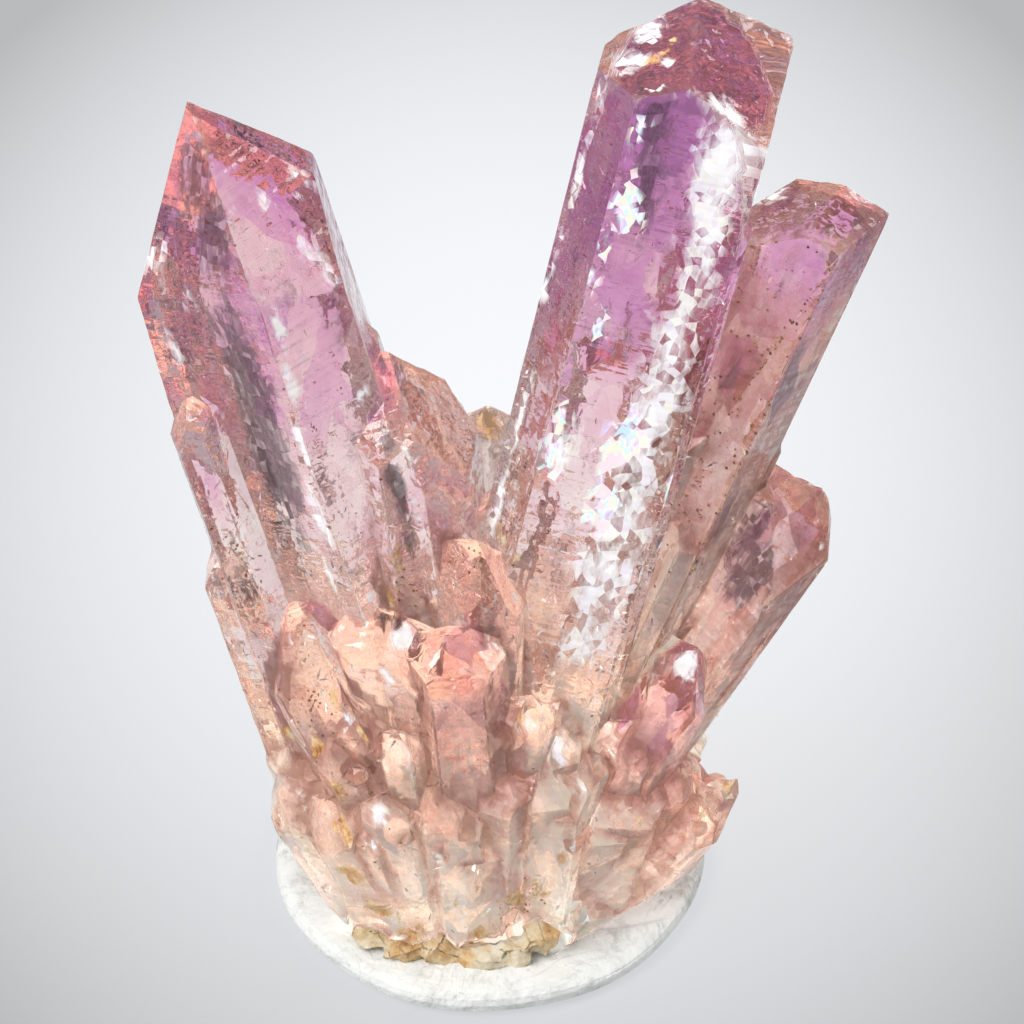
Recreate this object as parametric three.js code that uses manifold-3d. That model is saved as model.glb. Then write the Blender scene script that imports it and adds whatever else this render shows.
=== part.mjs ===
// A cluster of zoned prismatic crystals on a scrap of limonite, stuck upright in a pat of white putty.
// Millimetres, +Z up. The origin is the middle of the putty's flat underside and -Y is the display side.
import * as THREE from "three";
import { ConvexGeometry } from "three/addons/geometries/ConvexGeometry.js";
import { mergeVertices } from "three/addons/utils/BufferGeometryUtils.js";
import Module from "manifold-3d";

// Driving dimensions
const PUTTY_RADIUS = 9.9;
const PUTTY_THICKNESS = 1.5;
const BED_HEIGHT = 0.75; // the lowest the crystals reach, down in the putty
const ROOT = [0.2, -3.4, 0]; // where the spray of crystals starts
const SPREAD = 0.5; // how far out the short crystals are rooted, as a share of their reach
const GAP = 0.3; // clearance between pieces that were pressed or grown together

const UP = new THREE.Vector3(0, 0, 1);
const VIEWER = new THREE.Vector3(0, -1, 0);
const wasm = await Module();
wasm.setup();

// Solids

// A closed mesh as a solid that can be cut and joined.
function solidOf(geometry) {
  const bare = geometry.clone();
  bare.deleteAttribute("normal");
  bare.deleteAttribute("uv");
  const merged = mergeVertices(bare, 1e-4);
  const vertProperties = merged.attributes.position.array;
  const triVerts = new Uint32Array(merged.index.array);
  return new wasm.Manifold(new wasm.Mesh({ numProp: 3, vertProperties, triVerts }));
}

function geometryOf(solid) {
  const mesh = solid.getMesh();
  const geometry = new THREE.BufferGeometry();
  geometry.setAttribute("position", new THREE.BufferAttribute(mesh.vertProperties, 3));
  geometry.setIndex(new THREE.BufferAttribute(mesh.triVerts, 1));
  geometry.computeVertexNormals();
  return geometry;
}

const join = (solids) => solids.reduce((whole, solid) => whole.add(solid));

// The convex body inside a list of planes. A plane keeps the points with normal . point <= reach.
function insidePlanes(planes) {
  const corners = [];
  const kept = (point) => planes.every((plane) => plane.normal.dot(point) < plane.reach + 1e-5);
  const isNew = (point) => corners.every((corner) => corner.distanceTo(point) > 1e-3);
  planes.forEach((a, i) => {
    planes.slice(i + 1).forEach((b, j) => {
      const line = new THREE.Vector3().crossVectors(a.normal, b.normal);
      planes.slice(i + j + 2).forEach((c) => {
        const spread = line.dot(c.normal);
        if (Math.abs(spread) < 1e-6) return;
        const point = line.clone().multiplyScalar(c.reach);
        point.addScaledVector(new THREE.Vector3().crossVectors(b.normal, c.normal), a.reach);
        point.addScaledVector(new THREE.Vector3().crossVectors(c.normal, a.normal), b.reach);
        point.divideScalar(spread);
        if (kept(point) && isNew(point)) corners.push(point);
      });
    });
  });
  return new ConvexGeometry(corners);
}

// Crystals

// The axes of a crystal that runs from `from` to `to`. Facing 0 degrees is the display side, 90 the right.
function frameOf({ from, to }) {
  const foot = new THREE.Vector3(...from);
  const axis = new THREE.Vector3(...to).sub(foot);
  const length = axis.length();
  axis.normalize();
  const front = VIEWER.clone().addScaledVector(axis, -VIEWER.dot(axis)).normalize();
  const right = new THREE.Vector3().crossVectors(axis, front);
  const towards = (facing) => {
    const angle = THREE.MathUtils.degToRad(facing);
    return front.clone().multiplyScalar(Math.cos(angle)).addScaledVector(right, Math.sin(angle));
  };
  return { foot, axis, length, towards };
}

// Each side is [facing, distance from the axis, flare] and each tip facet is [facing, steepness, drop]. A
// steepness of 0 is square across the axis, and drop is how far below `to` the facet meets the axis.
function crystalPlanes(crystal, grow = 0) {
  const { foot, axis, length, towards } = frameOf(crystal);
  const planeAt = (normal, point) => ({ normal, reach: normal.dot(point) + grow });
  const planes = crystal.sides.map(([facing, distance, flare = 0]) => {
    const tilt = THREE.MathUtils.degToRad(flare);
    const normal = towards(facing).multiplyScalar(Math.cos(tilt)).addScaledVector(axis, -Math.sin(tilt));
    return planeAt(normal, foot.clone().addScaledVector(towards(facing), distance));
  });
  crystal.tip.forEach(([facing, steepness, drop]) => {
    const tilt = THREE.MathUtils.degToRad(steepness);
    const normal = towards(facing).multiplyScalar(Math.sin(tilt)).addScaledVector(axis, Math.cos(tilt));
    planes.push(planeAt(normal, foot.clone().addScaledVector(axis, length - drop)));
  });
  planes.push(planeAt(axis.clone().negate(), foot));
  planes.push({ normal: UP.clone().negate(), reach: grow - BED_HEIGHT });
  return planes;
}

// A slimmer crystal grown parallel to another: moved `out` towards `facing`, and from one height to another.
function ledge(parent, facing, out, low, high, half) {
  const { foot, axis, towards } = frameOf(parent);
  const at = (up) => foot.clone().addScaledVector(axis, up).addScaledVector(towards(facing), out).toArray();
  const tip = [[facing, 58, 0], [facing - 90, 40, 0], [facing + 90, 44, 0]];
  return { from: at(low), to: at(high), sides: sixSides(facing, half), tip };
}

// A sunken facet: corners are [across, up] on one side of a crystal, and the pit is deepest at `deep`.
function pit(parent, facing, corners, deep, depth) {
  const { foot, axis, towards } = frameOf(parent);
  const [, distance, flare = 0] = parent.sides.find((side) => side[0] === facing);
  const at = ([across, up], sunk) => {
    const out = distance + up * Math.tan(THREE.MathUtils.degToRad(flare)) - sunk;
    const point = foot.clone().addScaledVector(axis, up);
    return point.addScaledVector(towards(facing), out).addScaledVector(towards(facing + 90), across);
  };
  const rim = corners.map((corner) => at(corner, -0.15));
  return solidOf(new ConvexGeometry([...rim, ...deep.map((spot) => at(spot, depth))]));
}

// A prism section: the face that looks at `facing`, its two neighbours `spread` degrees away, and the backs.
const sixSides = (facing, half, spread = 62, squat = 1, flare = 0) => [
  [facing, half * squat, flare],
  [facing + spread, half, flare],
  [facing + 180 - spread, half, flare],
  [facing + 180, half * squat, flare],
  [facing - 180 + spread, half, flare],
  [facing - spread, half, flare],
];

// The three tall crystals
const TALLEST = {
  from: [-1, -3.4, 0.4],
  to: [9, -1, 47.4],
  sides: [[-8, 2.5], [80, 3.3, 0.4], [128, 5.7], [-164, 2.7], [-138, 3.5], [-100, 3.5, 0.4], [-58, 3.2]],
  tip: [[-70, 30, 1.5], [60, 30, 1.8], [180, 62, -5]],
};
const LEFT_TALL = {
  from: [0, -2.6, 0.4],
  to: [-11.4, 1.2, 42.6],
  sides: [[-32, 3.4, 0.4], [36, 2.6, 1.6], [-88, 8, -4], [96, 3, 0], [150, 3.6, 0.6], [-146, 4.4, 1]],
  tip: [[-37, 68, -1], [50, 65, 1.8], [-95, 61, -1], [97, 50, 2.2], [97, 72, -3.4], [170, 60, 0.4]],
};
const RIGHT_TALL = {
  from: [0.6, -2.4, 0.4],
  to: [15.4, 4.8, 37.2],
  sides: [[-24, 2.3], [52, 2.3], [-88, 2.8], [108, 2.6], [160, 2.4], [-146, 2.6]],
  tip: [[-25, 25, 3], [-84, 40, 3.2], [52, 62, -1.6], [150, 58, 0.6]],
};

// The crystals of middle size, from left to right
const MIDDLE_LEFT = {
  from: [-1, -3.4, 0.4],
  to: [-4.4, -0.8, 30.6],
  sides: [[-40, 2.5], [22, 2.4], [78, 3.2], [-100, 2.6], [150, 2.6], [-150, 2.6]],
  tip: [[-65, 47, 0.7], [67, 60, 0.4], [0, 50, 1], [170, 56, 0]],
};
const FRONT_LEFT = {
  from: [-1.6, -5.2, 0.4],
  to: [-8.4, -4.2, 19.6],
  sides: [[-62, 2.1, 0.6], [-8, 2.3], [60, 2.9], [-118, 2.4], [110, 3], [160, 2.3], [-160, 2.3]],
  tip: [[-11, 70, 0.8], [55, 70, 0], [-80, 62, 0], [120, 50, 0], [-170, 60, 0]],
};
const FRONT_MIDDLE = {
  from: [0, -5.3, 0.4],
  to: [-1.4, -6.6, 20.2],
  sides: sixSides(0, 1.9),
  tip: [[-58, 44, 0], [4, 50, 0.2], [64, 44, 0], [176, 60, 0]],
};
const FAR_RIGHT = {
  from: [1.4, -2.6, 0.4],
  to: [15.2, 2.4, 22.4],
  sides: [[-45, 1.7], [42, 2.3], [-96, 2.6], [100, 1.9], [150, 2], [-140, 2.4]],
  tip: [[4, 59, 2], [-64, 32, 2.2], [70, 56, 0.8], [150, 52, 1.6]],
};
const MIDDLING = [
  MIDDLE_LEFT,
  FRONT_LEFT,
  {
    from: [-0.6, -4.8, 0.4],
    to: [-3.6, -5.8, 20.2],
    sides: sixSides(-30, 1.35),
    tip: [[20, 62, 0.7], [-50, 50, 0], [150, 60, 0]],
  },
  {
    from: [0.4, -4.2, 0.4],
    to: [-0.2, -4.4, 23.2],
    sides: sixSides(12, 1.8),
    tip: [[-40, 54, 0], [30, 52, 0], [80, 60, 0.3], [170, 62, 0]],
  },
  FRONT_MIDDLE,
  {
    from: [3, -4.2, 0.4],
    to: [9.2, -3.4, 16.4],
    sides: sixSides(-14, 1.5),
    tip: [[-49, 30, 0.9], [-6, 60, 1.4], [160, 46, 0], [70, 62, 0.6]],
  },
  FAR_RIGHT,
  {
    from: [2, -3.6, 0.4],
    to: [11.4, -2.4, 7.2],
    sides: sixSides(-20, 2.7),
    tip: [[-80, 44, 0.6], [0, 58, 1.2], [60, 62, 1], [170, 50, 1]],
  },
];

// Parallel growth: slim crystals that stand a little proud of a bigger one's side
const LEDGES = [
  ledge(TALLEST, 80, 2.75, 3, 40.4, 1.15),
  ledge(TALLEST, 40, 2.35, 2, 15.5, 1.3),
  ledge(TALLEST, -100, 2.9, 5, 23.6, 1.2),
  ledge(TALLEST, 172, 1.7, 6, 33, 1.6),
  ledge(LEFT_TALL, -88, 5.6, 3, 22.8, 1.5),
  ledge(LEFT_TALL, -70, 5.1, 5, 30.4, 1.1),
  ledge(LEFT_TALL, -10, 3.5, 2, 19.5, 1.4),
  ledge(LEFT_TALL, 96, 2.2, 6, 31.8, 1.2),
  ledge(LEFT_TALL, 150, 2.9, 5, 29, 1.5),
  ledge(RIGHT_TALL, -50, 1.5, 3, 27, 1.2),
  ledge(RIGHT_TALL, 8, 1.8, 4, 22.6, 1.1),
  ledge(RIGHT_TALL, 108, 1.7, 5, 27.4, 1.3),
  ledge(MIDDLE_LEFT, -70, 1.9, 3, 27.6, 1.2),
  ledge(MIDDLE_LEFT, 60, 2.1, 3, 25.4, 1.2),
  ledge(FRONT_LEFT, 30, 1.7, 2, 15.2, 1.2),
  ledge(FRONT_MIDDLE, 66, 1.2, 2, 15.4, 1.1),
  ledge(FRONT_MIDDLE, -66, 1.1, 2, 13.4, 1.2),
  ledge(FAR_RIGHT, 60, 1.3, 3, 19.4, 1),
  ledge(FAR_RIGHT, -96, 1.6, 3, 17.6, 1.3),
];

// Short crystals that fill the foot of the spray: where each ends, its half width and its facing
const SHORT = [
  [-3.9, -7.5, 15.1, 1, -10],
  [0.5, -5, 19.2, 1.1, 16],
  [1.3, -3.8, 20.6, 1, 40],
  [1.9, -6.5, 16.2, 1.1, 0],
  [3.2, -6, 14.1, 1.1, 25],
  [4.4, -5.6, 12.4, 1.1, -15],
  [-8.8, -5.4, 10.6, 1.5, -30],
  [-4.6, -8, 11.9, 1.1, 20],
  [-6.5, -6.6, 14, 1.2, 5],
  [-6.9, -7.2, 11, 1.4, -20],
  [-1.4, -7.8, 11.6, 1.3, 10],
  [0.8, -7.6, 12.8, 1.2, -20],
  [-2.2, -7.8, 12.2, 1.3, 0],
  [-5.4, -7.3, 11, 1.5, 30],
  [6.6, -4.4, 13, 1.3, 10],
  [8.4, -3.6, 10.6, 1.6, -10],
  [5.4, -5.6, 10, 1.5, 20],
  [9.4, -4.2, 8.4, 1.7, -20],
  [2.6, -6.9, 13, 1.4, 15],
  [11.3, -1, 6.3, 1.7, 30],
  [0.1, 4.6, 23.2, 1.5, 0],
  [-5.8, -2.2, 20.3, 1.8, 20],
  [-2.4, -2.5, 21.6, 1.6, -10],
  [-3.5, 1.2, 22, 1.8, 30],
  [-6.7, -3, 17.4, 1.8, 0],
  [3.6, -3.6, 17.2, 1.5, 20],
  [-9.6, -1.4, 15.4, 1.8, -20],
  [-11.1, 0.2, 17.2, 1.4, -30],
  [-9.6, -0.6, 12, 1.7, 10],
  [8.6, 1, 15.6, 1.8, 10],
];

// Blunt crystals that make the solid body between and below the others
const BODY = [
  [-5.2, -5.6, 13.6, 3.1, -20],
  [-7.6, -2.6, 13.2, 3, 0],
  [-7.6, -1.2, 8.6, 2.4, -40],
  [-3.4, -2.6, 18.6, 3, 20],
  [2.6, -5.2, 14.4, 2.9, 0],
  [-1.2, -5.8, 12.4, 3, 15],
  [-3.6, -5.6, 7.6, 2.8, -10],
  [6.2, -3.6, 12.4, 2.9, 10],
  [5.4, -4.2, 7.4, 2.9, 30],
  [9, -1.6, 8.6, 2.4, 0],
  [6.4, -0.4, 16, 2.8, 20],
  [-1, 2.6, 18, 3.4, 180],
  [-6.6, 2.4, 14.6, 3.4, 160],
  [4.6, 4, 13.4, 3.4, 200],
  [0.4, 4.6, 9.4, 3.6, 180],
];

// Crystals that lean away from the display side
const BEHIND = [
  [-6.5, 6.5, 17.5, 2.2, 170],
  [3, 8.2, 15.5, 2, 190],
  [8.5, 6.6, 12.6, 2, 150],
  [-1.8, 8.8, 10.5, 2.1, 180],
  [-8.8, 4, 9.6, 2, 200],
  [5.2, 8.6, 7.5, 1.9, 170],
  [-5.4, 7.2, 6.6, 1.9, 210],
  [9.4, 3.4, 8.2, 1.8, 130],
];

// The underside of the spray, which narrows to its foot and is broken along flat faces. Its sides are given
// like a crystal's, and flare by up to 66 degrees on the right, where the crystals overhang the putty.
const UNDERSIDE = {
  from: [-1, -5, 0],
  to: [-1, -5, 60],
  sides: [
    [0, 2.8, 5],
    [45, 3, 44],
    [80, 2.6, 66],
    [130, 4, 55],
    [180, 6, 40],
    [-135, 5, 42],
    [-90, 3.8, 41],
    [-90, 5.8, 18],
    [-45, 3.6, 24],
  ],
  tip: [[0, 0, 0]],
};

function shortCrystal([x, y, z, half, facing]) {
  const from = [ROOT[0] + SPREAD * (x - ROOT[0]), ROOT[1] + SPREAD * (y - ROOT[1]), ROOT[2]];
  const tip = [[facing - 58, 50, 0], [facing, 54, 0.2], [facing + 62, 47, 0.1], [facing + 178, 58, 0]];
  return { from, to: [x, y, z], sides: sixSides(facing, half), tip };
}

const crystals = [TALLEST, LEFT_TALL, RIGHT_TALL, ...MIDDLING, ...LEDGES];
crystals.push(...[...SHORT, ...BODY, ...BEHIND].map(shortCrystal));

// Sunken facets on the tall crystals
const PITS = [
  pit(TALLEST, -8, [[-2.3, 30.7], [-3.05, 26.2], [-1.3, 24.5], [-0.4, 26.6]], [[-1.7, 26.2]], 0.4),
  pit(TALLEST, -8, [[0.4, 39.6], [0.2, 36.2], [1.2, 35.4], [1.5, 38.8]], [[0.7, 36.4]], 0.3),
  pit(TALLEST, -164, [[-1.4, 34.5], [-1.8, 30.4], [0.4, 29.6], [0.9, 33.8]], [[-0.6, 30.8]], 0.4),
  pit(LEFT_TALL, -32, [[-3.2, 31.6], [-4.4, 28], [-3, 26.4], [-2.2, 29.8]], [[-3.4, 27.6]], 0.4),
  pit(LEFT_TALL, 36, [[0.8, 34.6], [0, 31.2], [1.2, 30.4], [1.8, 33.4]], [[0.8, 31.4]], 0.35),
  pit(LEFT_TALL, 150, [[-1, 30.2], [-1.4, 26.8], [0.6, 25.8], [1.2, 29]], [[-0.2, 26.8]], 0.4),
  pit(RIGHT_TALL, -24, [[-0.3, 31], [-0.8, 28.2], [0.6, 27.6], [0.9, 30.2]], [[0.1, 28.4]], 0.3),
];

// Rock

// Random numbers from 0 to 1 that come out the same each time.
function seeded(seed) {
  let state = seed;
  return () => {
    state = (state * 16807) % 2147483647;
    return state / 2147483647;
  };
}

// A broken lump: the hull of points scattered over an ellipsoid.
function lump([x, y, z], radii, seed, grow = 0) {
  const random = seeded(seed * 7919);
  const corners = [];
  for (let count = 0; count < 26; count++) {
    const height = 2 * random() - 1;
    const angle = 2 * Math.PI * random();
    const across = Math.sqrt(1 - height * height);
    const spot = [across * Math.cos(angle), across * Math.sin(angle), height];
    const reach = 0.88 + 0.12 * random();
    const corner = spot.map((share, i) => share * (radii[i] * reach + grow));
    corners.push(new THREE.Vector3(x + corner[0], y + corner[1], z + corner[2]));
  }
  return solidOf(new ConvexGeometry(corners));
}

// The limonite crust at the front of the foot: centre and radii of each lump
const CRUST = [
  [[-5, -6.3, 2.1], [1.5, 1.3, 1.3]],
  [[-3.6, -7, 2], [1.6, 1.2, 1.2]],
  [[-1.8, -7.5, 2], [1.6, 1.1, 1.2]],
  [[-0.2, -7.6, 1.8], [1.6, 1.1, 1]],
  [[1.2, -7.5, 1.8], [1.4, 1, 1]],
  [[2.4, -6.9, 2.4], [1.2, 1.1, 1.5]],
];
const crust = (grow) => join(CRUST.map(([centre, radii], i) => lump(centre, radii, i + 3, grow)));

// Cavities in the foot of the spray: centre and radii
const CAVITIES = [
  [[1.1, -7.2, 3.6], [0.6, 1.3, 1.1]],
  [[-4.9, -7.6, 13.9], [0.5, 0.8, 0.7]],
  [[-5.6, -7, 12.2], [0.6, 0.9, 0.5]],
  [[3.9, -7, 8.6], [0.6, 0.9, 0.9]],
];
const cavities = join(CAVITIES.map(([centre, radii], i) => lump(centre, radii, i + 31)));

const grown = (grow) => join(crystals.map((crystal) => solidOf(insidePlanes(crystalPlanes(crystal, grow)))));

const broken = solidOf(insidePlanes(crystalPlanes(UNDERSIDE)));
const cluster = grown(0).intersect(broken).subtract(join(PITS)).subtract(cavities).subtract(crust(GAP));

// The putty pat: a flat underside, a rounded rim and a low crown, thumbed up against the foot
const RIM = [[0.95, 0], [1, 0.35], [1, 0.8], [0.975, 1.15], [0.93, 1.38], [0.8, 1.5]];
const patCorners = RIM.flatMap(([share, level]) =>
  Array.from({ length: 72 }, (_, step) => {
    const angle = (step / 72) * 2 * Math.PI;
    const radius = PUTTY_RADIUS * share;
    const height = (level / 1.5) * PUTTY_THICKNESS;
    return new THREE.Vector3(radius * Math.cos(angle), radius * Math.sin(angle), height);
  }),
);
const pat = solidOf(new ConvexGeometry(patCorners));
const putty = pat.subtract(grown(GAP)).subtract(crust(GAP));

function named(name, solid, material) {
  const mesh = new THREE.Mesh(geometryOf(solid), material);
  mesh.name = name;
  return mesh;
}

const crystalPink = new THREE.MeshStandardMaterial({ color: 0xd9a0a8, roughness: 0.08, metalness: 0 });
const limonite = new THREE.MeshStandardMaterial({ color: 0xc9a46c, roughness: 0.8, metalness: 0 });
const puttyWhite = new THREE.MeshStandardMaterial({ color: 0xe9e8e2, roughness: 0.55, metalness: 0 });

const specimen = new THREE.Group();
specimen.add(named("crystal_cluster", cluster, crystalPink));
specimen.add(named("limonite_crust", crust(0), limonite));
specimen.add(named("putty_base", putty, puttyWhite));

export default specimen;
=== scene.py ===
import math

import bmesh
import bpy
import numpy as np
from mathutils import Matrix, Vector
from mathutils.bvhtree import BVHTree


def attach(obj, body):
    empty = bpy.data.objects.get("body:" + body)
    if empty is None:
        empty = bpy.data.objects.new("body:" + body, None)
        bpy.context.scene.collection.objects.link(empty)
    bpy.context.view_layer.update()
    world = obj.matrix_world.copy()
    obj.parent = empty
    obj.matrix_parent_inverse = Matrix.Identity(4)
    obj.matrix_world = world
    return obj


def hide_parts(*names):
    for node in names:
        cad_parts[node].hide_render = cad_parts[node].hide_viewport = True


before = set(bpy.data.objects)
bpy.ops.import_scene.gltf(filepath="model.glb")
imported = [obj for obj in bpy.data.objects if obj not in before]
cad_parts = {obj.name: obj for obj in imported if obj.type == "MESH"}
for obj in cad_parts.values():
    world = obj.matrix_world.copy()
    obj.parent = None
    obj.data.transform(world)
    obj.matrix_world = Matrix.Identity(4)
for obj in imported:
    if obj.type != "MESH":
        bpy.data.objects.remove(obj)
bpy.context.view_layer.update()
MM = 0.001

# Camera
# A long lens looks down on the display side from in front, as the photograph does. Marks that are told
# apart in the photograph are placed by its pixels, on the crystal face that the camera sees there.
PHOTO = 1024
FOCAL_PIXELS = 5112
CAMERA_DISTANCE = 0.220
CAMERA_ELEVATION = math.radians(39.5)
AIM = Vector((0.00109, 0, 0.0209))
SENSOR = 36

camera = bpy.data.objects.new("camera", bpy.data.cameras.new("camera"))
bpy.context.scene.collection.objects.link(camera)
bpy.context.scene.camera = camera
towards_camera = Vector((0, -math.cos(CAMERA_ELEVATION), math.sin(CAMERA_ELEVATION)))
camera.location = AIM + towards_camera * CAMERA_DISTANCE
camera.rotation_euler = (math.pi / 2 - CAMERA_ELEVATION, 0, 0)
camera.data.sensor_width = SENSOR
camera.data.lens = FOCAL_PIXELS / PHOTO * SENSOR
camera.data.clip_start = 0.01


def through_pixel(x, y):
    """Direction of the camera's ray through a pixel of the photograph, counted from its top left."""
    across = Vector((1, 0, 0)) * (x - PHOTO / 2)
    up = towards_camera.cross(Vector((1, 0, 0))) * (PHOTO / 2 - y)
    return (across + up - towards_camera * FOCAL_PIXELS).normalized()


# Crystals
# One spray of zoned prismatic crystals, grown together from a common foot: clear and glassy, purple at
# the tips, pink along the prisms and peach below. Natural faces are etched and their edges are chipped.
LONGEST_EDGE = 0.58 * MM
SHARP_ANGLE = math.radians(14)
WEAR_DEPTH = 0.05 * MM
CHIP_DEPTH = 0.3 * MM
JOINT_DEPTH = 0.03 * MM
SPRAY_ROOT_MM = (0.2, -3.4, 0)

# Each of the bigger crystals: foot, tip, half its width, and how purple its tip is
BIG_CRYSTALS_MM = [
    ((-1, -3.4, 0.4), (9, -1, 47.4), 3, 1),
    ((0, -2.6, 0.4), (-11.4, 1.2, 42.6), 4.4, 0.86),
    ((0.6, -2.4, 0.4), (15.4, 4.8, 37.2), 2.6, 0.84),
    ((-1, -3.4, 0.4), (-4.4, -0.8, 30.6), 2.6, 0.66),
    ((-1.6, -5.2, 0.4), (-8.4, -4.2, 19.6), 2.5, 0.6),
    ((-0.6, -4.8, 0.4), (-3.6, -5.8, 20.2), 1.4, 0.5),
    ((0.4, -4.2, 0.4), (-0.2, -4.4, 23.2), 1.8, 0.42),
    ((0, -5.3, 0.4), (-1.4, -6.6, 20.2), 1.9, 0.56),
    ((3, -4.2, 0.4), (9.2, -3.4, 16.4), 1.5, 0.95),
    ((1.4, -2.6, 0.4), (15.2, 2.4, 22.4), 2.1, 0.7),
    ((2, -3.6, 0.4), (11.4, -2.4, 7.2), 2.7, 0.3),
]


def scatter(places, size, seed):
    """Value noise from -1 to 1 at each place: random numbers on a lattice of that size, blended between its
    corners by the smooth cubic 3t^2 - 2t^3 along each axis."""
    table = np.random.default_rng(seed).uniform(-1, 1, 4096)
    lattice = places / size
    low = np.floor(lattice).astype(int)
    share = lattice - low
    share = share * share * (3 - 2 * share)
    total = np.zeros(len(places))
    for corner in range(8):
        step = np.array([corner & 1, corner >> 1 & 1, corner >> 2 & 1])
        key = (low + step) @ np.array([73, 1511, 2887]) % 4096
        weight = np.prod(np.where(step, share, 1 - share), axis=1)
        total += weight * table[key]
    return total


FEET = np.array([foot for foot, *_ in BIG_CRYSTALS_MM]) * MM
REACHES = np.array([tip for _, tip, *_ in BIG_CRYSTALS_MM]) * MM - FEET
LENGTHS = np.linalg.norm(REACHES, axis=1)
AXES = REACHES / LENGTHS[:, None]
HALVES = np.array([half for _, _, half, _ in BIG_CRYSTALS_MM]) * MM
SPRAY_ROOT = np.array(SPRAY_ROOT_MM) * MM


def growth_frames(places):
    """For each place: which bigger crystal it is on (-1 for the short ones), its place in that crystal's own
    frame, with the third number along the axis, and the share of the crystal's length below it."""
    outward = places - SPRAY_ROOT
    reach = np.linalg.norm(outward, axis=1)
    bearing = np.arctan2(outward[:, 0], -outward[:, 1])
    best = np.full(len(places), 0.75)
    owner = np.full(len(places), -1)
    grown = np.stack([bearing * 6 * MM, outward[:, 2] * 0.3, reach], axis=1)
    share = reach / (30 * MM)
    for number, (foot, along, length, half) in enumerate(zip(FEET, AXES, LENGTHS, HALVES)):
        side = np.cross(along, (0, -1, 0))
        side /= np.linalg.norm(side)
        offset = places - foot
        up = offset @ along
        local = np.stack([offset @ side, offset @ np.cross(side, along), up], axis=1)
        narrowing = np.clip((1.03 - up / length) / 0.3, 0.1, 1)
        away = np.abs(np.hypot(local[:, 0], local[:, 1]) / half - narrowing)
        closer = (away < best) & (up < length * 1.06) & (up > length * 0.25)
        best[closer] = away[closer]
        owner[closer] = number
        grown[closer] = local[closer]
        share[closer] = up[closer] / length
    return owner, grown, share


def growth_zone(places):
    """How far up the colour zoning a place is, from 0 at the peach foot to 1 at a purple tip."""
    owner, _, share = growth_frames(places)
    purple = np.array([tip for *_, tip in BIG_CRYSTALS_MM] + [0.34])[owner]
    cloud = 0.5 * scatter(places, 3.1 * MM, 5) + 0.3 * scatter(places, 1.2 * MM, 6)
    return purple * np.clip((share - 0.3) / 0.62 + 0.12 * cloud, 0, 1)


def carry(mesh, name, values):
    """Stores one number, or one vector, per vertex as a named attribute that a material reads."""
    is_vector = values.ndim == 2
    attribute = mesh.attributes.new(name, "FLOAT_VECTOR" if is_vector else "FLOAT", "POINT")
    attribute.data.foreach_set("vector" if is_vector else "value", values.astype(np.float32).ravel())


def places_of(mesh):
    flat = np.zeros(len(mesh.vertices) * 3)
    mesh.vertices.foreach_get("co", flat)
    return flat.reshape(-1, 3)


def fine_copy(node, name, longest):
    """A merged copy of a CAD node's mesh, its edges halved until none is longer than `longest`."""
    work = bmesh.new()
    work.from_mesh(node.data)
    bmesh.ops.remove_doubles(work, verts=work.verts, dist=1e-6)
    long_edges = [edge for edge in work.edges if edge.calc_length() > longest]
    while long_edges:
        bmesh.ops.subdivide_edges(work, edges=long_edges, cuts=1)
        bmesh.ops.triangulate(work, faces=work.faces, quad_method="SHORT_EDGE")
        long_edges = [edge for edge in work.edges if edge.calc_length() > longest]
    mesh = bpy.data.meshes.new(name)
    work.to_mesh(mesh)
    work.free()
    return mesh


def triangles_of(mesh):
    corners = np.zeros(len(mesh.loops), int)
    mesh.loops.foreach_get("vertex_index", corners)
    return corners.reshape(-1, 3)


def edge_sharpness(mesh):
    """For each vertex of a triangle mesh, how far its faces' normals part, 0 on a flat face, spread over its
    neighbours twice, and the mean of those normals."""
    triangles = triangles_of(mesh)
    places = places_of(mesh)
    a, b, c = (places[triangles[:, corner]] for corner in range(3))
    normals = np.cross(b - a, c - a)
    normals /= np.maximum(np.linalg.norm(normals, axis=1), 1e-15)[:, None]
    total = np.zeros_like(places)
    for corner in range(3):
        np.add.at(total, triangles[:, corner], normals)
    faces = np.bincount(triangles.ravel(), minlength=len(places))
    length = np.linalg.norm(total, axis=1)
    sharp = np.clip(4 * (1 - length / faces), 0, 1)
    for _ in range(2):
        spread = sharp.copy()
        for corner in range(3):
            here, there = triangles[:, corner], triangles[:, corner - 1]
            np.maximum.at(spread, here, 0.55 * sharp[there])
            np.maximum.at(spread, there, 0.55 * sharp[here])
        sharp = spread
    return sharp, total / np.maximum(length, 1e-9)[:, None]


crystal_mesh = fine_copy(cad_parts["crystal_cluster"], "crystals", LONGEST_EDGE)
flat_places = places_of(crystal_mesh)
sharp, outward = edge_sharpness(crystal_mesh)
chips = np.clip(scatter(flat_places, 1.1 * MM, 21) + 0.5 * scatter(flat_places, 0.45 * MM, 22) - 0.4, 0, 1)
wear = sharp * (WEAR_DEPTH * (1 + scatter(flat_places, 0.5 * MM, 23)) + CHIP_DEPTH * chips)
crystal_places = flat_places - outward * wear[:, None]
crystal_mesh.vertices.foreach_set("co", crystal_places.ravel())
crystal_mesh.set_sharp_from_angle(angle=SHARP_ANGLE)
owner, crystal_grown, share = growth_frames(flat_places)
# Painted facet shading: each face is lighter or darker by the direction that it faces, standing in for how it
# catches the light.
facet_shade = 0.5 + 0.5 * np.sin(outward @ (11, 17, 13))


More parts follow.
